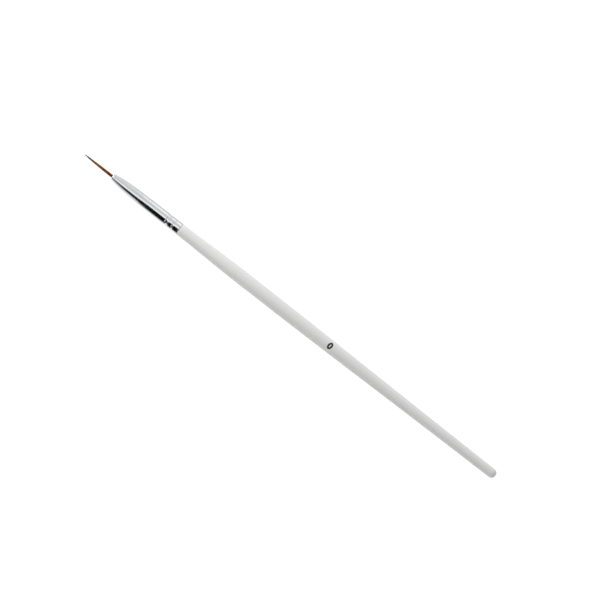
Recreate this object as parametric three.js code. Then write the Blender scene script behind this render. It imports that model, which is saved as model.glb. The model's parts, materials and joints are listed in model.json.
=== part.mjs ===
// A fine detail brush, size 0: a turned wooden handle in a dipped coat, a drawn metal ferrule
// crimped onto its tenon, and a pointed tuft of fine hair set and tied inside the ferrule.
// Millimetres, +Z up. The brush lies along X with its point towards +X. The origin is on the
// surface that the brush rests on, under the middle of its length.
//
// Every piece is turned or wound about the brush's own axis. Inside the brush group that axis
// is Y, and y is the distance forward from the middle of the brush's length.
import * as THREE from 'three';

// ---------- driving dimensions ----------
const overallLength = 180;
const hairLength = 12.4; // hair that shows past the ferrule's mouth
const ferruleLength = 29.5;
const handleWidest = 2.57; // radii from here on, each to the middle of a flat
const handleAtFerrule = 2.17;
const handleAtButt = 1.74;
const ferruleBackRadius = 2.2;
const ferruleNeck = 2.12; // where the tube meets the nose
const ferruleMouth = 1.2;
const ferruleWall = 0.2;
const hairRoot = 0.55;

// ---------- stations along the axis ----------
const pointEnd = overallLength / 2;
const buttEnd = -overallLength / 2;
const mouth = pointEnd - hairLength;
const ferruleBack = mouth - ferruleLength;
const lipLength = 0.45; // the mouth's rounded end
const noseFront = mouth - lipLength;
const noseBack = noseFront - 12.2; // the nose curves in from the tube here
const widestFront = 22; // the handle is straight from here back to widestBack
const widestBack = 3;
const domeDepth = 1.6;
const domeStart = buttEnd + domeDepth;

// ---------- clearances and thin layers ----------
const joint = 0.03; // gap that stands for a bonded face
const endGap = 0.1; // gap between two ends that face each other
const coatThickness = 0.12;
const buttCoat = 0.35; // the dipped coat gathers at the butt
const glueThickness = 0.05;

// ---------- crimps ----------
const crimps = [
  { station: ferruleBack + 2.7, depth: 0.05, width: 1.0 },
  { station: ferruleBack + 5.25, depth: 0.1, width: 2.0 },
];

// ---------- tuft ----------
const turningSides = 16; // a flat faces straight down, so the brush doesn't roll
const hairSides = 16;
const basePivot = mouth + 1.4; // clear of the mouth, because clamped hair flexes past its clamp
const waistPivot = mouth + 5;
const pointPivot = mouth + 8.6;
const ballShare = 0.93; // a stretch's rounded root, as a share of the hair's radius there

// ---------- materials ----------
function paint(color, roughness, metalness = 0) {
  return new THREE.MeshStandardMaterial({ color, roughness, metalness });
}
const birch = paint(0xd9bb8c, 0.65);
const whiteLacquer = paint(0xf1f1ee, 0.25);
const blackInk = paint(0x17171a, 0.5);
const nickelPlate = paint(0xd4d6d8, 0.12, 1);
const cement = paint(0xc9c4b8, 0.3);
const amberResin = paint(0xb9822f, 0.2);
const waxedThread = paint(0xcfc4ac, 0.8);
const brownHair = paint(0x6b3d1a, 0.45);

// ---------- shared shape helpers ----------
function steps(from, to, count) {
  return Array.from({ length: count + 1 }, (_, i) => from + ((to - from) * i) / count);
}

// A piece turned from an outline of [y, radius] pairs. The outline runs forward along the
// outside and back along any bore. Radii are taken to the middle of each flat.
function turned(name, outline, material, sides = turningSides) {
  const toCorner = 1 / Math.cos(Math.PI / sides);
  const points = outline.map(([y, radius]) => new THREE.Vector2(radius * toCorner, y));
  const mesh = new THREE.Mesh(new THREE.LatheGeometry(points, sides, Math.PI / sides), material);
  mesh.name = name;
  return mesh;
}

// A quarter of an ellipse from [yStart, radiusStart] to [yEnd, radiusEnd]. It leaves its start
// along the axis and meets its end square to the axis.
function quarterRound(yStart, radiusStart, yEnd, radiusEnd, count) {
  return steps(0, Math.PI / 2, count).map((angle) => [
    yStart + (yEnd - yStart) * Math.sin(angle),
    radiusEnd + (radiusStart - radiusEnd) * Math.cos(angle),
  ]);
}

// ---------- outlines ----------
// The handle from its butt to the ferrule, with a skin of the given thickness taken off.
function handleOutline(skin, skinAtButt) {
  const taper = new THREE.SplineCurve([
    new THREE.Vector2(domeStart, handleAtButt),
    new THREE.Vector2(-62, 1.94),
    new THREE.Vector2(-46, 2.09),
    new THREE.Vector2(-17, 2.42),
    new THREE.Vector2(widestBack, handleWidest),
  ]);
  const shoulder = steps(widestFront, ferruleBack - endGap, 6).map((y) => {
    const share = (y - widestFront) / (ferruleBack - widestFront);
    const ease = 0.5 - 0.5 * Math.cos(Math.PI * share);
    return [y, handleWidest - (handleWidest - handleAtFerrule) * ease];
  });
  const barrel = taper.getPoints(10).map((point) => [point.x, point.y]);
  const dome = quarterRound(domeStart, handleAtButt - skin, buttEnd + skinAtButt, 0, 5).reverse();
  const side = [...barrel, ...shoulder].map(([y, radius]) => [y, radius - skin]);
  return [...dome, ...side.slice(1)];
}

function crimpAt(y) {
  const near = crimps.find(({ station, width }) => Math.abs(y - station) < width / 2);
  if (near === undefined) return 0;
  return near.depth * 0.5 * (1 + Math.cos((Math.PI * (y - near.station)) / (near.width / 2)));
}

// Stations along the tube that follow both crimps, from back to front.
function crimpedStations(from, to) {
  const bends = crimps.flatMap(({ station, width }) => {
    return steps(station - width / 2, station + width / 2, 4);
  });
  return [from, ...bends, to];
}

// The tube narrows a little from its back to its nose. An inset goes in from its outside.
function tubeRadius(y, inset) {
  const share = Math.min((y - ferruleBack) / (noseBack - ferruleBack), 1);
  return ferruleBackRadius + (ferruleNeck - ferruleBackRadius) * share - inset - crimpAt(y);
}

// An ogive that meets the tube at a faint edge. The share runs back from the front.
function noseCurve(radiusFront, radiusBack, share) {
  const left = 1 - share;
  return radiusBack - (radiusBack - radiusFront) * (0.75 * left ** 3.3 + 0.25 * left);
}

const throatBore = 0.63;
const throatBack = noseFront - 0.8; // the bore is straight from here to the mouth

function boreRadius(y) {
  if (y > throatBack) {
    return throatBore;
  }
  if (y < noseBack) {
    return tubeRadius(y, ferruleWall);
  }
  return noseCurve(throatBore, ferruleNeck - ferruleWall, (throatBack - y) / (throatBack - noseBack));
}

// The visible hair narrows to a point with a full belly.
function hairRadius(y) {
  const share = Math.max((y - mouth) / hairLength, 0);
  return hairRoot * (1 - 0.95 * share ** 2.6) ** 0.7;
}

// ---------- pieces ----------
const tenonFront = ferruleBack + 11.6;
const tenonInset = ferruleWall + glueThickness + 2 * joint;

function handleCore() {
  const barrel = handleOutline(coatThickness + joint, buttCoat + joint);
  const tenon = crimpedStations(ferruleBack - endGap, tenonFront - 0.4)
    .map((y) => [y, tubeRadius(y, tenonInset)]);
  const tenonEnd = [[tenonFront, tubeRadius(tenonFront, tenonInset + 0.4)], [tenonFront, 0]];
  return turned('handle_core', [...barrel, ...tenon, ...tenonEnd], birch);
}

function handleLacquer() {
  const outside = handleOutline(0, 0);
  const inside = handleOutline(coatThickness, buttCoat).reverse();
  return turned('handle_lacquer', [...outside, ...inside], whiteLacquer);
}

function ferrule() {
  const tube = crimpedStations(ferruleBack, noseBack).map((y) => [y, tubeRadius(y, 0)]);
  const nose = steps(0, 1, 9).slice(1)
    .map((t) => [noseBack + t * (noseFront - noseBack), noseCurve(ferruleMouth, ferruleNeck, 1 - t)]);
  const lip = quarterRound(noseFront, ferruleMouth, mouth, throatBore + 0.08, 4).slice(1);
  const lipInside = [[mouth - 0.12, throatBore]];
  const boreNose = steps(throatBack, noseBack, 7).map((y) => [y, boreRadius(y)]);
  const boreTube = crimpedStations(ferruleBack, noseBack).reverse().slice(1)
    .map((y) => [y, boreRadius(y)]);
  const outline = [...tube, ...nose, ...lip, ...lipInside, ...boreNose, ...boreTube];
  return turned('ferrule', [...outline, outline[0]], nickelPlate);
}

function ferruleGlue() {
  const stations = crimpedStations(ferruleBack + endGap, tenonFront - 1.2);
  const outside = stations.map((y) => [y, boreRadius(y) - joint]);
  const inside = outside.map(([y, radius]) => [y, radius - glueThickness]).reverse();
  return turned('ferrule_glue', [...outside, ...inside, outside[0]], cement);
}

const heelBack = mouth - 12.5; // the hair's root end
const plugBack = heelBack - 1;
const plugFront = heelBack + 3.5;

function resinPlug() {
  const outside = steps(plugBack, plugFront, 4).map((y) => [y, boreRadius(y) - joint]);
  const pocket = [
    [plugFront, hairRoot + joint],
    [heelBack - joint, hairRoot + joint],
    [heelBack - joint, 0],
  ];
  return turned('resin_plug', [[plugBack, 0], ...outside, ...pocket], amberResin);
}

class Winding extends THREE.Curve {
  constructor(start, radius, pitch, turns) {
    super();
    Object.assign(this, { start, radius, pitch, turns });
  }

  getPoint(t, target = new THREE.Vector3()) {
    const angle = 2 * Math.PI * this.turns * t;
    const along = this.start + this.pitch * this.turns * t;
    return target.set(this.radius * Math.sin(angle), along, this.radius * Math.cos(angle));
  }
}

function bindingThread() {
  const threadRadius = 0.1;
  const turns = 4;
  const winding = new Winding(plugFront + 1, hairRoot + joint + threadRadius, 0.25, turns);
  const section = new THREE.Shape();
  section.absarc(0, 0, threadRadius, 0, 2 * Math.PI);
  const geometry = new THREE.ExtrudeGeometry(section, {
    steps: 14 * turns,
    curveSegments: 3,
    bevelEnabled: false,
    extrudePath: winding,
  });
  const mesh = new THREE.Mesh(geometry, waxedThread);
  mesh.name = 'binding_thread';
  return mesh;
}

// The printed numeral lies on the coat's upper side: its height runs round the handle. It is
// turned as a flat ring that is one wide, then drawn out to an oval and laid round the coat.
function sizeMark() {
  const station = -17.5;
  const inkInside = 2.51; // just clear of the coat's corners
  const inkThickness = 0.04;
  const halfWidth = 0.9;
  const halfHeight = 1.37;
  const stroke = 0.55;
  const section = [[1, 0], [2, 0], [2, inkThickness], [1, inkThickness], [1, 0]];
  const geometry = new THREE.LatheGeometry(section.map(([x, y]) => new THREE.Vector2(x, y)), 48);
  const place = geometry.getAttribute('position');
  for (let i = 0; i < place.count; i += 1) {
    const [x, y, z] = [place.getX(i), place.getY(i), place.getZ(i)];
    const inset = stroke * (2 - Math.hypot(x, z));
    const turn = Math.atan2(z, x);
    const angle = ((halfHeight - inset) * Math.cos(turn)) / inkInside;
    const along = station - (halfWidth - inset) * Math.sin(turn);
    place.setXYZ(i, (inkInside + y) * Math.sin(angle), along, (inkInside + y) * Math.cos(angle));
  }
  const mesh = new THREE.Mesh(geometry, blackInk);
  mesh.name = 'size_mark';
  return mesh;
}

// The fixed hair, which leaves the ferrule and ends clear of the first bending stretch's ball.
function tuftHeel() {
  const front = basePivot - ballShare * hairRadius(basePivot) - endGap;
  const outline = [[heelBack, 0], [heelBack, hairRoot], [front, hairRadius(front)], [front, 0]];
  return turned('tuft_heel', outline, brownHair, hairSides);
}

// A bending stretch of hair: a rounded root about its pivot, then the hair's own taper. Its
// front end is flat and clear of the next stretch's ball, or comes to the brush's point.
function tuftStretch(name, pivot, nextPivot) {
  const ball = ballShare * hairRadius(pivot);
  const root = quarterRound(pivot, ball, pivot - ball, 0, 4).reverse();
  const isPoint = nextPivot === undefined;
  const front = isPoint ? pointEnd : nextPivot - ballShare * hairRadius(nextPivot) - endGap;
  const side = steps(pivot + 0.05, front, 6).map((y) => [y, hairRadius(y)]);
  return turned(name, [...root, ...side, [front, 0]], brownHair, hairSides);
}

// ---------- assembly ----------
const brush = new THREE.Group();
brush.add(
  handleCore(),
  handleLacquer(),
  sizeMark(),
  ferrule(),
  ferruleGlue(),
  resinPlug(),
  bindingThread(),
  tuftHeel(),
  tuftStretch('tuft_belly', basePivot, waistPivot),
  tuftStretch('tuft_waist', waistPivot, pointPivot),
  tuftStretch('tuft_point', pointPivot),
);
brush.rotation.z = -Math.PI / 2;
brush.position.z = handleWidest;

const model = new THREE.Group();
model.add(brush);
export default model;
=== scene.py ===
"""A size 0 detail brush: white dipped handle, nickel-plated ferrule and a pointed tuft of hair."""
import json
import math
import random

import bpy
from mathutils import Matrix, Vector


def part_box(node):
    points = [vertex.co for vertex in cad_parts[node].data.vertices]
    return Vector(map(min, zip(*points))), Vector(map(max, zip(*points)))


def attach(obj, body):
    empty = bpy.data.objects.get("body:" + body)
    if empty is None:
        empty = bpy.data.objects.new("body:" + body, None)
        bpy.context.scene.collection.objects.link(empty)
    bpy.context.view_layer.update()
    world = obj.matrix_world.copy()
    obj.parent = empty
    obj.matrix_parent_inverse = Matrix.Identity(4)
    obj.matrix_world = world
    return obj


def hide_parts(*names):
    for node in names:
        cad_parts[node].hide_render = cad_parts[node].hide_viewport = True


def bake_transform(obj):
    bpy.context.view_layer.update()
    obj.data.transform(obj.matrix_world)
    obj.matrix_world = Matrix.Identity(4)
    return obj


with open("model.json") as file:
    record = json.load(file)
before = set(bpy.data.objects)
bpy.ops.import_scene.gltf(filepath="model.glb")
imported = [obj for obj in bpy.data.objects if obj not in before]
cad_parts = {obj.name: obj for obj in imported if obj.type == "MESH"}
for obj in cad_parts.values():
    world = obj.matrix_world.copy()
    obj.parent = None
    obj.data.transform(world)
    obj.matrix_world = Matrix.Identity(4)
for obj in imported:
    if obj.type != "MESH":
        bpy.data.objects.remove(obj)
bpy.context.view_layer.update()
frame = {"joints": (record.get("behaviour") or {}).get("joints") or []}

MM = 0.001


def measured(node):
    """A CAD node's lowest and highest corner, in millimetres."""
    low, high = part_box(node)
    return low / MM, high / MM


# ---------- sizes read from the frame, in millimetres ----------
coat_low, coat_high = measured("handle_lacquer")
tube_low, tube_high = measured("ferrule")
plug_low, plug_high = measured("resin_plug")
glue_low, glue_high = measured("ferrule_glue")
mark_low, mark_high = measured("size_mark")

AXIS = (coat_low.z + coat_high.z) / 2  # height of the brush's own axis
BUTT = coat_low.x
COAT_FRONT = coat_high.x
FERRULE_BACK = tube_low.x
MOUTH = tube_high.x
TENON_FRONT = measured("handle_core")[1].x
TIE_BACK = measured("binding_thread")[0].x
HEEL = measured("tuft_heel")[0].x
POINT = measured("tuft_point")[1].x
WIDEST = (coat_high.z - coat_low.z) / 2
TUBE_BACK = (tube_high.z - tube_low.z) / 2  # the tube's radius at its back end
HAIR_OUT = POINT - MOUTH
PIVOTS = {j["name"]: j["pos_m"][0] / MM for j in frame["joints"]}

# ---------- sizes of the making, in millimetres ----------
AT_FERRULE = 2.17  # handle radii
AT_BUTT = 1.74
TAPER = ((-62, 1.94), (-46, 2.09), (-17, 2.42))  # station and radius behind the widest stretch
COAT = 0.12  # the coat's thickness
BUTT_COAT = 0.35  # its thickness at the butt, where it drips
DOME = 1.6  # the butt's rounded length
WIDEST_FRONT, WIDEST_BACK = 22.0, 3.0
NECK = 2.12  # the tube's radius where it meets the nose
WALL = 0.2
LIP = 1.2  # the thick rounded lip's radius
LIP_LENGTH = 0.45
NOSE_LENGTH = 12.2
THROAT = 0.63  # the bore's radius at the mouth
THROAT_LENGTH = 0.8
NOSE_FRONT = MOUTH - LIP_LENGTH
NOSE_BACK = NOSE_FRONT - NOSE_LENGTH
THROAT_BACK = NOSE_FRONT - THROAT_LENGTH  # the bore is straight from here to the mouth
CRIMPS = (  # middle, depth and width
    (FERRULE_BACK + 2.7, 0.042, 1.0),
    (FERRULE_BACK + 5.25, 0.08, 2.0),
)
HAIR_ROOT = 0.55
CEMENT = 0.05
BOND = 0.03  # a bonded face's gap


# ---------- modelling helpers ----------
def pick(obj):
    bpy.ops.object.select_all(action="DESELECT")
    obj.select_set(True)
    bpy.context.view_layer.objects.active = obj


def settle(obj, name, crease=35):
    """Puts the place into the mesh and shades it smooth up to the crease angle."""
    pick(obj)
    obj.name = name
    obj.data.name = name
    bpy.ops.object.transform_apply(location=True, rotation=True, scale=True)
    bpy.ops.object.shade_smooth_by_angle(angle=math.radians(crease))
    return obj


def apply_modifiers(obj):
    pick(obj)
    for modifier in list(obj.modifiers):
        bpy.ops.object.modifier_apply(modifier=modifier.name)


def turned(name, outline, sides=96, crease=35):
    """Spins an outline of (x, radius) pairs about the brush's axis."""
    x, radius = outline[0]
    bpy.ops.object.select_all(action="DESELECT")
    bpy.ops.mesh.primitive_plane_add(size=MM, location=(x * MM, 0, (AXIS + radius) * MM))
    obj = bpy.context.object
    bpy.ops.object.mode_set(mode="EDIT")
    bpy.ops.mesh.merge(type="CENTER")
    for (x0, r0), (x1, r1) in zip(outline, outline[1:]):
        step = ((x1 - x0) * MM, 0, (r1 - r0) * MM)
        bpy.ops.mesh.extrude_region_move(TRANSFORM_OT_translate={"value": step})
    bpy.ops.mesh.select_all(action="SELECT")
    bpy.ops.mesh.spin(steps=sides, angle=2 * math.pi, center=(0, 0, AXIS * MM), axis=(1, 0, 0))
    bpy.ops.mesh.select_all(action="SELECT")
    bpy.ops.mesh.remove_doubles(threshold=0.002 * MM)
    bpy.ops.mesh.normals_make_consistent(inside=False)
    bpy.ops.object.mode_set(mode="OBJECT")
    return settle(obj, name, crease)


def steps(start, end, count):
    return [start + (end - start) * i / count for i in range(count + 1)]


def quarter_round(x0, r0, x1, r1, count=10):
    """A quarter ellipse that leaves (x0, r0) along the axis and meets (x1, r1) square to it."""
    turns = steps(0, math.pi / 2, count)
    return [(x0 + (x1 - x0) * math.sin(t), r1 + (r0 - r1) * math.cos(t)) for t in turns]


def through(points, per_span=8):
    """A smooth line through the points, each span a cubic."""
    ends = [points[0], *points, points[-1]]
    line = [points[0]]
    for a, b, c, d in zip(ends, ends[1:], ends[2:], ends[3:]):
        for i in range(1, per_span + 1):
            t = i / per_span
            h = (2 * t**3 - 3 * t**2 + 1, t**3 - 2 * t**2 + t, 3 * t**2 - 2 * t**3, t**3 - t**2)
            line.append(tuple(
                h[0] * b[k] + h[1] * (c[k] - a[k]) / 2 + h[2] * c[k] + h[3] * (d[k] - b[k]) / 2
                for k in range(2)
            ))
    return line


# ---------- outlines ----------
def handle_side(skin, skin_at_butt, front):
    """The handle's outside from its butt pole to the given front, less a skin."""
    start = BUTT + DOME
    taper = through([(start, AT_BUTT), *TAPER, (WIDEST_BACK, WIDEST)])
    shoulder = []
    for x in steps(WIDEST_FRONT, front, 24):
        share = (x - WIDEST_FRONT) / (FERRULE_BACK - WIDEST_FRONT)
        ease = 0.5 - 0.5 * math.cos(math.pi * share)
        shoulder.append((x, WIDEST - (WIDEST - AT_FERRULE) * ease))
    side = [(x, r - skin) for x, r in taper + shoulder]
    dome = quarter_round(start, AT_BUTT - skin, BUTT + skin_at_butt, 0)[::-1]
    return dome + side[1:]


def crimp(x):
    """How deep the rolled rings press the tube in at x."""
    for middle, depth, width in CRIMPS:
        if abs(x - middle) < width / 2:
            return depth * 0.5 * (1 + math.cos(2 * math.pi * (x - middle) / width))
    return 0


def tube_radius(x):
    """The tube narrows a little from its back to its nose, and the rings press it in."""
    share = (x - FERRULE_BACK) / (NOSE_BACK - FERRULE_BACK)
    return TUBE_BACK + (NECK - TUBE_BACK) * share - crimp(x)


def tube_side(start, end, inset, per_ring=16):
    """The tube's outside from start to end, with the rolled rings in it, less an inset."""
    stations = [start]
    for middle, _, width in CRIMPS:
        stations += steps(middle - width / 2, middle + width / 2, per_ring)
    return [(x, tube_radius(x) - inset) for x in [*stations, end]]


def nose(front, back, share):
    """An ogive that meets the tube at a faint edge, where the drawing die stopped."""
    left = 1 - share
    return back - (back - front) * (0.75 * left**3.3 + 0.25 * left)


def bore(x):
    """The ferrule's inside radius."""
    if x < NOSE_BACK:
        return tube_radius(x) - WALL
    share = max((THROAT_BACK - x) / (THROAT_BACK - NOSE_BACK), 0)
    return nose(THROAT, NECK - WALL, share)


def bundle(x):
    """The hair bundle's radius."""
    share = min(max((x - MOUTH) / HAIR_OUT, 0), 1)
    return HAIR_ROOT * (1 - 0.93 * share**2.6) ** 0.7


# ---------- materials ----------
class Nodes:
    """A node tree with short calls for its nodes and links."""

    def __init__(self, tree):
        self.tree = tree

    def node(self, kind, **settings):
        made = self.tree.nodes.new(kind)
        for key, value in settings.items():
            setattr(made, key, value)
        return made

    def link(self, output, socket):
        self.tree.links.new(output, socket)

    def set(self, socket, value):
        """Feeds a socket from another socket, or gives it a fixed value."""
        if isinstance(value, bpy.types.NodeSocket):
            self.link(value, socket)
        else:
            socket.default_value = value

    def ramp(self, value, stops):
        made = self.node("ShaderNodeValToRGB")
        elements = made.color_ramp.elements
        while len(elements) < len(stops):
            elements.new(0.5)
        for element, (at, colour) in zip(elements, stops):
            element.position = at
            element.color = (*colour, 1)
        self.link(value, made.inputs["Fac"])
        return made.outputs["Color"]

    def spread(self, value, low, high, start=0, end=1, **settings):
        """Takes start to end onto low to high."""
        made = self.node("ShaderNodeMapRange", **settings)
        made.inputs["From Min"].default_value = start
        made.inputs["From Max"].default_value = end
        made.inputs["To Min"].default_value = low
        made.inputs["To Max"].default_value = high
        self.link(value, made.inputs["Value"])
        return made.outputs["Result"]

    def mix(self, a, b, factor=1.0, blend_type="MIX"):
        made = self.node("ShaderNodeMix", data_type="RGBA", blend_type=blend_type)
        self.set(made.inputs["Factor"], factor)
        self.set(made.inputs[6], a)
        self.set(made.inputs[7], b)
        return made.outputs[2]


class Finish(Nodes):
    """A material: its shader, and patterns laid out in the object's own coordinates."""

    def __init__(self, name, **sockets):
        self.material = bpy.data.materials.new(name)
        self.material.use_nodes = True
        super().__init__(self.material.node_tree)
        self.shader = self.tree.nodes["Principled BSDF"]
        for socket, value in sockets.items():
            self.shader.inputs[socket.replace("_", " ")].default_value = value
        self.place = self.node("ShaderNodeTexCoord").outputs["Object"]

    def stretched(self, scale):
        """The object's own coordinates, scaled along each axis."""
        mapping = self.node("ShaderNodeMapping")
        mapping.inputs["Scale"].default_value = scale
        self.link(self.place, mapping.inputs["Vector"])
        return mapping.outputs["Vector"]

    def noise(self, scale, detail=4, roughness=0.55, distortion=0):
        """Noise with its grain size in object coordinates: one number, or one for each axis."""
        sizes = scale if isinstance(scale, tuple) else (scale,) * 3
        made = self.node("ShaderNodeTexNoise")
        made.inputs["Scale"].default_value = 1
        made.inputs["Detail"].default_value = detail
        made.inputs["Roughness"].default_value = roughness
        made.inputs["Distortion"].default_value = distortion
        self.link(self.stretched(tuple(1 / s for s in sizes)), made.inputs["Vector"])
        return made.outputs["Fac"]

    def colour(self, output):
        self.link(output, self.shader.inputs["Base Color"])

    def roughness(self, output):
        self.link(output, self.shader.inputs["Roughness"])

    def relief(self, *layers):
        """Bumps, each a height output with its depth in millimetres, one over the other."""
        last = None
        for height, depth in layers:
            bump = self.node("ShaderNodeBump")
            bump.inputs["Strength"].default_value = 1
            bump.inputs["Distance"].default_value = depth * MM
            self.link(height, bump.inputs["Height"])
            if last:
                self.link(last, bump.inputs["Normal"])
            last = bump.outputs["Normal"]
        self.link(last, self.shader.inputs["Normal"])


def grey(value):
    return (value, value, value)


def white_lacquer():
    finish = Finish("white_lacquer", Coat_Weight=0.25, Coat_Roughness=0.22, IOR=1.48)
    drift = finish.noise((30 * MM, 2 * MM, 2 * MM), detail=2)
    specks = finish.noise(0.12 * MM, detail=2)
    tone = finish.ramp(drift, [(0.3, (0.73, 0.73, 0.722)), (0.7, (0.768, 0.768, 0.763))])
    dust = finish.ramp(specks, [(0.66, grey(1)), (0.8, grey(0.93))])
    finish.colour(finish.mix(tone, dust, blend_type="MULTIPLY"))
    finish.roughness(finish.spread(finish.noise(1.5 * MM), 0.36, 0.46))
    finish.relief(
        (finish.noise((9 * MM, 1.2 * MM, 1.2 * MM), detail=1), 0.012),
        (finish.noise(0.25 * MM, detail=2), 0.0016),
    )
    return finish.material


def black_ink():
    finish = Finish("black_ink", IOR=1.45)
    grain = finish.noise(0.06 * MM, detail=3)
    finish.colour(finish.ramp(grain, [(0.35, (0.008, 0.008, 0.009)), (0.75, (0.03, 0.03, 0.031))]))
    finish.roughness(finish.spread(grain, 0.4, 0.62))
    finish.relief((grain, 0.002))
    return finish.material


def nickel_plate():
    finish = Finish("nickel_plate", Metallic=1)
    drawn = finish.noise((14 * MM, 0.05 * MM, 0.05 * MM), detail=3)
    clouds = finish.noise((2.5 * MM, 0.8 * MM, 0.8 * MM), detail=3)
    finish.colour(finish.ramp(clouds, [(0.3, (0.76, 0.77, 0.785)), (0.7, (0.83, 0.835, 0.84))]))
    finish.roughness(finish.spread(clouds, 0.06, 0.13))
    finish.relief((drawn, 0.0002), (finish.noise(1.1 * MM, detail=1), 0.0012))
    return finish.material


def pale_wood():
    finish = Finish("pale_wood", Roughness=0.62)
    grain = finish.noise((22 * MM, 0.35 * MM, 0.5 * MM), detail=6, roughness=0.62, distortion=0.4)
    pores = finish.noise((3 * MM, 0.06 * MM, 0.06 * MM), detail=3)
    wood = finish.ramp(grain, [
        (0.25, (0.5, 0.34, 0.18)), (0.5, (0.68, 0.51, 0.3)), (0.75, (0.8, 0.64, 0.42)),
    ])
    dark = finish.ramp(pores, [(0.3, grey(0.72)), (0.46, grey(1))])
    finish.colour(finish.mix(wood, dark, blend_type="MULTIPLY"))
    finish.relief((grain, 0.02), (pores, 0.01))
    return finish.material


def set_resin(name, dark, light, transmission):
    finish = Finish(name, Transmission_Weight=transmission, IOR=1.52, Coat_Weight=0.3)
    cloud = finish.noise(0.8 * MM, detail=4)
    finish.colour(finish.ramp(cloud, [(0.3, dark), (0.7, light)]))
    finish.roughness(finish.spread(cloud, 0.1, 0.3))
    finish.relief((finish.noise(0.5 * MM), 0.02))
    return finish.material


def waxed_thread():
    finish = Finish("waxed_thread", Roughness=0.7, Sheen_Weight=0.3)
    fibres = finish.noise((0.05 * MM, 0.2 * MM, 0.2 * MM), detail=5, distortion=0.5)
    finish.colour(finish.ramp(fibres, [(0.3, (0.42, 0.36, 0.25)), (0.7, (0.7, 0.64, 0.5))]))
    finish.relief((fibres, 0.012))
    return finish.material


def brown_hair():
    """Red-brown at the root, ochre in the belly and grey-olive at the tips."""
    finish = Finish(
        "brown_hair", Roughness=0.42, Specular_IOR_Level=0.2, Subsurface_Weight=0.3,
        Subsurface_Scale=0.12 * MM, Subsurface_Radius=(1.0, 0.42, 0.12),
    )
    along = finish.node("ShaderNodeSeparateXYZ")
    finish.link(finish.place, along.inputs["Vector"])
    share = finish.spread(along.outputs["X"], 0, 1, MOUTH * MM, POINT * MM)
    length = finish.ramp(share, [
        (0.0, (0.18, 0.04, 0.003)), (0.3, (0.34, 0.1, 0.012)), (0.55, (0.34, 0.15, 0.03)),
        (0.75, (0.22, 0.12, 0.04)), (1.0, (0.1, 0.085, 0.06)),
    ])
    tone = finish.node("ShaderNodeAttribute", attribute_name="tone")
    shade = finish.ramp(tone.outputs["Fac"], [(0.0, grey(0.5)), (1.0, grey(1.4))])
    streaks = finish.noise((2 * MM, 0.02 * MM, 0.02 * MM), detail=3)
    fine = finish.ramp(streaks, [(0.3, grey(0.8)), (0.7, grey(1))])
    varied = finish.mix(length, shade, blend_type="MULTIPLY")
    finish.colour(finish.mix(varied, fine, blend_type="MULTIPLY"))
    finish.relief((streaks, 0.002))
    return finish.material


def dress(obj, material, slot, body, *nodes):
    """Gives a finished piece its material and its body, and hides the nodes it stands for; the
    slot is not used.
    """
    obj.data.materials.clear()
    obj.data.materials.append(material)
    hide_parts(*nodes)
    if body:
        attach(obj, body)


# ---------- the handle ----------
def make_coat():
    edge = 0.07  # the coat's rounded front edge
    outside = handle_side(0, 0, COAT_FRONT - edge)
    front_radius = outside[-1][1]
    lip = quarter_round(COAT_FRONT - edge, front_radius, COAT_FRONT, front_radius - edge, 5)[1:]
    inside = handle_side(COAT, BUTT_COAT, COAT_FRONT)[::-1]
    return turned("lacquer_coat", outside + lip + inside)


def make_core():
    barrel = handle_side(COAT + BOND, BUTT_COAT + BOND, COAT_FRONT)
    rounding = 0.4
    tenon = tube_side(COAT_FRONT, TENON_FRONT - rounding, WALL + CEMENT + 2 * BOND)
    radius = tenon[-1][1]
    end = quarter_round(TENON_FRONT - rounding, radius, TENON_FRONT, radius - rounding, 5)[1:]
    return turned("turned_handle", barrel + tenon + end + [(TENON_FRONT, 0)])


def make_mark(coat):
    """The printed 0: a ring drawn out from an oval, laid onto the coat and given ink thickness."""
    half_width, half_height, stroke = 0.9, 1.3, 0.68
    middle = (mark_low.x + mark_high.x) / 2
    sideways = -0.2
    slant = math.radians(-7)
    place = (middle * MM, sideways * MM, (AXIS + WIDEST + 1) * MM)
    bpy.ops.object.select_all(action="DESELECT")
    bpy.ops.mesh.primitive_circle_add(vertices=96, radius=MM, location=place)
    mark = bpy.context.object
    bpy.ops.object.mode_set(mode="EDIT")
    bpy.ops.transform.resize(value=(half_width, half_height, 1), center_override=place)
    for _ in range(4):
        inward = (stroke / 4) / half_width, (stroke / 4) / half_height
        bpy.ops.mesh.extrude_region_move()
        bpy.ops.transform.resize(value=(1 - inward[0], 1 - inward[1], 1), center_override=place)
        half_width -= stroke / 4
        half_height -= stroke / 4
    bpy.ops.mesh.select_all(action="SELECT")
    bpy.ops.mesh.normals_make_consistent(inside=False)
    bpy.ops.object.mode_set(mode="OBJECT")
    mark.rotation_euler.z = slant
    settle(mark, "printed_numeral")
    wrap = mark.modifiers.new("wrap", "SHRINKWRAP")
    wrap.target = coat
    wrap.wrap_method = "PROJECT"
    wrap.use_project_z = True
    wrap.use_negative_direction = True
    wrap.use_positive_direction = False
    wrap.offset = 0.004 * MM
    ink = mark.modifiers.new("ink", "SOLIDIFY")
    ink.thickness = 0.02 * MM
    ink.offset = 1
    apply_modifiers(mark)
    return mark


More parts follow.
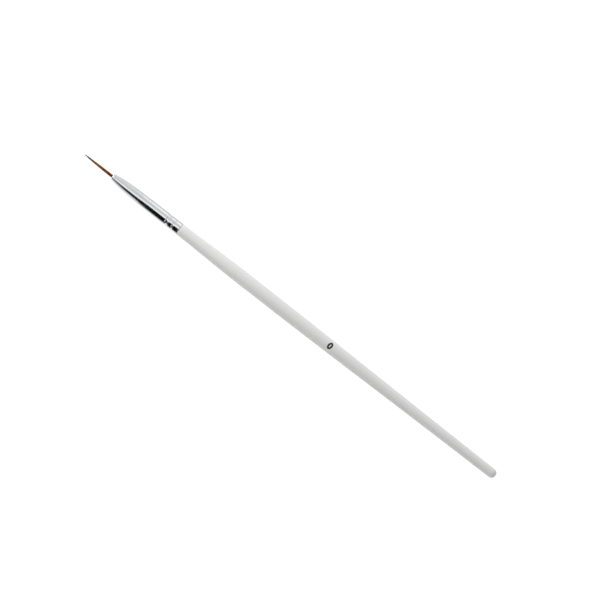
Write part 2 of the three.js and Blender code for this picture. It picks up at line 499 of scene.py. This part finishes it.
# ---------- the ferrule and what it holds ----------
def make_ferrule():
    back_edge = 0.06
    tube = tube_side(FERRULE_BACK + back_edge, NOSE_BACK, 0)
    rim = tube[0][1]
    back = quarter_round(FERRULE_BACK + back_edge, rim, FERRULE_BACK, rim - back_edge, 4)[:0:-1]
    front = [
        (NOSE_BACK + t * (NOSE_FRONT - NOSE_BACK), nose(LIP, NECK, 1 - t))
        for t in steps(0, 1, 48)[1:]
    ]
    lip = quarter_round(NOSE_FRONT, LIP, MOUTH, THROAT + 0.08, 12)[1:]
    throat = [(MOUTH - 0.03, THROAT + 0.025), (MOUTH - 0.12, THROAT)]
    inside = [(x, bore(x)) for x in steps(THROAT_BACK, NOSE_BACK, 24)]
    deep = tube_side(FERRULE_BACK, NOSE_BACK, WALL)[::-1][1:]
    outline = back + tube + front + lip + throat + inside + deep
    return turned("plated_ferrule", outline + outline[:1], sides=128)


def make_glue():
    """The film round the tenon, and the bead squeezed out between the coat and the ferrule. The
    bead's grey is partly painted shadow, for the dark line at the ferrule's back edge.
    """
    clear = 0.015  # the bead stops this far from the coat and from the ferrule
    gap = (COAT_FRONT + clear, FERRULE_BACK - clear)
    film = tube_side(glue_low.x, glue_high.x, WALL + BOND)
    inside = [(x, radius - CEMENT) for x, radius in film][::-1]
    proud = AT_FERRULE - 0.07
    bead = [(gap[0], inside[-1][1]), (gap[0], proud), (gap[1], proud), (gap[1], film[0][1])]
    front = [(glue_high.x + 0.04, film[-1][1] - CEMENT / 2)]
    return turned("cement_film", bead + film + front + inside + bead[:1])


def make_plug():
    """Resin that wets the tube and the hair, so its front face is hollow."""
    outside = [(x, bore(x) - BOND) for x in steps(plug_low.x, plug_high.x, 14)]
    top, hair = outside[-1][1], HAIR_ROOT + BOND
    hollow = [
        (plug_high.x - 0.45 * math.sin(math.pi * t), top + (hair - top) * t)
        for t in steps(0, 1, 14)[1:]
    ]
    pocket = [(HEEL - BOND, hair), (HEEL - BOND, 0)]
    back = quarter_round(plug_low.x + 0.3, outside[0][1] - 0.02, plug_low.x, 0, 8)[::-1]
    return turned("resin_plug_set", back + outside[2:] + hollow + pocket)


def make_tie():
    """Waxed thread: a round section wound round the roots of the hair."""
    thread, pitch = 0.1, 0.25
    turns = 4
    start = TIE_BACK + thread
    middle = (start * MM, 0, (AXIS + HAIR_ROOT + BOND + thread) * MM)
    bpy.ops.object.select_all(action="DESELECT")
    bpy.ops.mesh.primitive_circle_add(
        vertices=12, radius=thread * MM, location=middle, rotation=(math.pi / 2, 0, 0),
        fill_type="NGON",
    )
    tie = bpy.context.object
    bpy.context.scene.cursor.location = (start * MM, 0, AXIS * MM)
    bpy.ops.object.transform_apply(location=False, rotation=True, scale=True)
    bpy.ops.object.origin_set(type="ORIGIN_CURSOR")
    wind = tie.modifiers.new("wind", "SCREW")
    wind.axis = "X"
    wind.angle = 2 * math.pi
    wind.screw_offset = pitch * MM
    wind.iterations = turns
    wind.steps = wind.render_steps = 40
    wind.use_merge_vertices = False
    apply_modifiers(tie)
    bpy.ops.object.mode_set(mode="EDIT")
    bpy.ops.mesh.select_all(action="SELECT")
    bpy.ops.mesh.normals_make_consistent(inside=False)
    bpy.ops.object.mode_set(mode="OBJECT")
    return settle(tie, "wound_tie", crease=60)


# ---------- the hair ----------
HAIRS = 150
HAIR_SIDES = 6
HAIR_CUTS = 17
HAIR_BOW = 0.12  # how far the point leans sideways
THINNEST = 0.002
HAIR_WIDTH = HAIR_ROOT * math.sqrt(0.8 / HAIRS)


def make_one_hair():
    """A rod of unit length along X, cut into short lengths, that every hair is copied from."""
    bpy.ops.object.select_all(action="DESELECT")
    bpy.ops.mesh.primitive_cylinder_add(
        vertices=HAIR_SIDES, radius=1, depth=1, location=(0.5, 0, 0), rotation=(0, math.pi / 2, 0),
    )
    rod = bpy.context.object
    bpy.ops.object.transform_apply(location=True, rotation=True, scale=True)
    bpy.ops.object.mode_set(mode="EDIT")
    bpy.ops.mesh.select_mode(type="EDGE")
    bpy.ops.mesh.select_all(action="DESELECT")
    bpy.ops.object.mode_set(mode="OBJECT")
    points = rod.data.vertices
    for edge in rod.data.edges:
        a, b = (points[i].co for i in edge.vertices)
        edge.select = abs(a.x - b.x) > 0.5
    bpy.ops.object.mode_set(mode="EDIT")
    bpy.ops.mesh.subdivide(number_cuts=HAIR_CUTS)
    bpy.ops.mesh.select_mode(type="VERT")
    bpy.ops.object.mode_set(mode="OBJECT")
    return rod


def lay_hair(rod, number, draw):
    """Copies the rod and shapes it as one tapered hair in the bundle."""
    hair = rod.copy()
    hair.data = rod.data.copy()
    bpy.context.scene.collection.objects.link(hair)
    # Hairs sit on a spiral that fills the round bundle evenly, and the outer ones are shorter.
    outward = math.sqrt((number + 0.5) / HAIRS)
    around = number * math.pi * (3 - math.sqrt(5)) + draw.uniform(-0.2, 0.2)
    reach = 1 - 0.15 * outward**1.6 * draw.uniform(0.1, 1)
    end = MOUTH + HAIR_OUT * reach
    wander, phase = draw.uniform(-0.02, 0.02), draw.uniform(0, 2 * math.pi)
    for vertex in hair.data.vertices:
        share = max(vertex.co.x, 0) ** 0.85
        x = HEEL + (end - HEEL) * share
        near_tip = max((share - 0.55) / 0.45, 0)
        width = HAIR_WIDTH * bundle(x) / HAIR_ROOT * (1 - 0.5 * near_tip**4)
        width = max(width, THINNEST)
        lean = max((x - MOUTH) / HAIR_OUT, 0)
        away = outward * max(bundle(x) - width, 0) + wander * lean * (1 - lean)
        turn = around + 0.15 * math.sin(phase + 3 * share)
        y = away * math.cos(turn) - HAIR_BOW * lean**2 + vertex.co.y * width
        z = away * math.sin(turn) + vertex.co.z * width
        vertex.co = (x * MM, y * MM, (AXIS + z) * MM)
    tone = hair.data.attributes.new("tone", "FLOAT", "POINT")
    tone.data.foreach_set("value", [draw.random()] * len(hair.data.vertices))
    return hair


def make_tuft():
    draw = random.Random(7)
    rod = make_one_hair()
    hairs = [lay_hair(rod, number, draw) for number in range(HAIRS)]
    bpy.data.objects.remove(rod)
    pick(hairs[0])
    for hair in hairs:
        hair.select_set(True)
    bpy.ops.object.join()
    return settle(bpy.context.object, "hair_bundle", crease=60)


def cut_tuft(tuft, name, back, front):
    """A copy of the tuft between two planes, closed where it is cut."""
    stretch = tuft.copy()
    stretch.data = tuft.data.copy()
    bpy.context.scene.collection.objects.link(stretch)
    pick(stretch)
    stretch.name = name
    stretch.data.name = name
    for x, side in ((back, -1), (front, 1)):
        if x is None:
            continue
        bpy.ops.object.mode_set(mode="EDIT")
        bpy.ops.mesh.select_all(action="SELECT")
        bpy.ops.mesh.bisect(
            plane_co=(x * MM, 0, 0), plane_no=(side, 0, 0), use_fill=True, clear_outer=True,
            threshold=1e-8,
        )
        bpy.ops.object.mode_set(mode="OBJECT")
    return stretch


# ---------- build ----------
coat = make_coat()
core = make_core()
mark = make_mark(coat)
ferrule = make_ferrule()
glue = make_glue()
plug = make_plug()
tie = make_tie()

dress(coat, white_lacquer(), "white_lacquer", "handle", "handle_lacquer")
dress(core, pale_wood(), "wood", "handle", "handle_core")
dress(mark, black_ink(), "black_ink", "handle", "size_mark")
dress(ferrule, nickel_plate(), "nickel_plate", "handle", "ferrule")
# The cement's grey is partly its own colour and partly painted shadow: its bead fills the gap at
# the ferrule's back edge, where a dark shadow line falls.
cement = set_resin("cement_and_painted_shadow", (0.46, 0.44, 0.4), (0.58, 0.56, 0.5), 0.1)
dress(glue, cement, "cement", "handle", "ferrule_glue")
amber = set_resin("amber_resin", (0.36, 0.16, 0.03), (0.55, 0.3, 0.08), 0.4)
dress(plug, amber, "resin", "handle", "resin_plug")
dress(tie, waxed_thread(), "thread", "handle", "binding_thread")

# The tuft is cut into three stretches halfway between the joints' pivots, where it is straight.
# Known fault:
# where the base and the lift bend together, the middle stretch lands away from its neighbours.
hair_material = brown_hair()
tuft = make_tuft()
base, lift, tip = (PIVOTS[name] for name in ("base_bend", "lift_bend", "point_bend"))
cut_one, cut_two = (base + lift) / 2, (lift + tip) / 2
stretches = (
    ("hair_base", None, cut_one, "handle", "belly", base, ("tuft_heel", "tuft_belly")),
    ("hair_middle", cut_one, cut_two, "belly", "waist", lift, ("tuft_waist",)),
    ("hair_point", cut_two, None, "waist", "point", tip, ("tuft_point",)),
)
for name, back, front, fixed, moving, pivot, nodes in stretches:
    stretch = cut_tuft(tuft, name, back, front)
    dress(stretch, hair_material, "hair", None, *nodes)
    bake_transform(stretch)
bpy.data.objects.remove(tuft)


# ---------- studio ----------
BRIGHTEST = 1.4  # over the brightest screen, so that every screen's colour stays under 1
FLOOR_GLOW = 0.86
LAMP_POWER = 1.35
LAMP_AT = (0.4, -0.14, 0.25)  # in metres
PICTURE_WIDTH = 206.85  # millimetres across the picture, at the brush


def make_floor():
    """A pale surface lit from beneath as well, so that shadows on it are faint."""
    bpy.ops.object.select_all(action="DESELECT")
    bpy.ops.mesh.primitive_plane_add(size=6)
    floor = bpy.context.object
    floor.name = "floor"
    paper = Finish("pale_paper", Emission_Strength=FLOOR_GLOW, Roughness=0.9)
    paper.shader.inputs["Emission Color"].default_value = (1, 1, 1, 1)
    paper.colour(paper.ramp(paper.noise(3 * MM), [(0.3, grey(0.29)), (0.7, grey(0.31))]))
    floor.data.materials.append(paper.material)
    floor.visible_glossy = False


def make_lamp():
    """A soft lamp beyond the point, so that the light falls off towards the butt."""
    data = bpy.data.lights.new("soft_lamp", "AREA")
    data.size = 0.25
    data.energy = LAMP_POWER
    lamp = bpy.data.objects.new("soft_lamp", data)
    bpy.context.scene.collection.objects.link(lamp)
    lamp.location = LAMP_AT
    lamp.rotation_euler = lamp.location.to_track_quat("Z", "Y").to_euler()
    lamp.visible_camera = False


def make_world():
    """Screens and a black card wrapped round the brush's axis, by angle from straight up.

    Negative angles are the bright side. The black card is wide beside the brush's waist and
    narrower beside the front. It turns grey beside the mouth, and neither end has one.
    """
    world = bpy.data.worlds.new("studio")
    bpy.context.scene.world = world
    world.use_nodes = True
    studio = Nodes(world.node_tree)
    background = studio.tree.nodes["Background"]
    split = studio.node("ShaderNodeSeparateXYZ")
    studio.link(studio.node("ShaderNodeTexCoord").outputs["Generated"], split.inputs["Vector"])
    along = split.outputs["X"]
    turn = studio.node("ShaderNodeMath", operation="ARCTAN2")
    studio.link(split.outputs["Y"], turn.inputs[0])
    studio.link(split.outputs["Z"], turn.inputs[1])
    around = studio.spread(turn.outputs["Value"], 0, 1, -math.pi, math.pi)

    def screens(*stops):
        """Brightness round the axis, from pairs of degrees and brightness."""
        return studio.ramp(
            around, [(angle / 360 + 0.5, grey(value / BRIGHTEST)) for angle, value in stops]
        )

    def beyond(start, end):
        """0 short of start and 1 past end, along the brush."""
        return studio.spread(along, 0, 1, start, end, interpolation_type="SMOOTHSTEP")

    waist = screens(
        (-180, 0.95), (-135, 0.7), (-104, 0.68), (-97, 1.08), (-60, 1.08), (-49, 0.68),
        (-16, 0.68), (-9, 1.08), (11, 1.08), (16, 0.001), (89, 0.001), (105, 0.3), (121, 0.9),
        (180, 0.95),
    )
    front = screens(
        (-180, 0.9), (-135, 0.8), (-100, 0.8), (-60, 0.82), (-40, 0.68), (-10, 0.68),
        (0, 1.05), (22, 1.05), (28, 0.03), (71, 0.03), (92, 0.9), (180, 0.95),
    )
    mouth = screens(
        (-180, 0.9), (-135, 0.8), (-100, 0.8), (-60, 0.82), (-40, 0.68), (-10, 0.68),
        (0, 1.05), (20, 1.05), (26, 0.3), (75, 0.3), (95, 0.9), (180, 0.95),
    )
    ends = screens(
        (-180, 0.9), (-100, 0.9), (-90, 0.75), (-45, 0.55), (0, 0.42), (45, 0.8), (90, 1.1),
        (100, 1.1), (180, 0.9),
    )
    dim_ends = studio.mix(ends, (*grey(0.5), 1), blend_type="MULTIPLY")
    light = studio.mix(dim_ends, ends, beyond(-0.8, -0.3))
    light = studio.mix(light, waist, beyond(-0.19, -0.1))
    light = studio.mix(light, front, beyond(0.071, 0.081))
    light = studio.mix(light, mouth, beyond(0.1, 0.4))
    light = studio.mix(light, ends, beyond(0.45, 0.6))
    seen = studio.node("ShaderNodeLightPath").outputs["Is Camera Ray"]
    backdrop = (*grey(1 / BRIGHTEST), 1)
    studio.link(studio.mix(light, backdrop, seen), background.inputs["Color"])
    background.inputs["Strength"].default_value = BRIGHTEST


def make_camera():
    """Looks straight down, rolled so that the brush lies across the picture with its point up."""
    lens, sensor = 200, 36
    lean = math.radians(38.02)
    right = Vector((-math.cos(lean), -math.sin(lean), 0))
    up = Vector((math.sin(lean), -math.cos(lean), 0))
    aim = Vector(((BUTT + POINT) / 2, 0, AXIS)) + 3.55 * right + 5.18 * up
    data = bpy.data.cameras.new("camera")
    data.lens = lens
    data.sensor_width = sensor
    data.clip_start, data.clip_end = 0.01, 20
    camera = bpy.data.objects.new("camera", data)
    bpy.context.scene.collection.objects.link(camera)
    camera.location = (aim + Vector((0, 0, PICTURE_WIDTH * lens / sensor))) * MM
    camera.rotation_euler = (0, 0, math.atan2(right.y, right.x))
    bpy.context.scene.camera = camera


make_floor()
make_lamp()
make_world()
make_camera()
bpy.context.scene.view_settings.view_transform = "Standard"
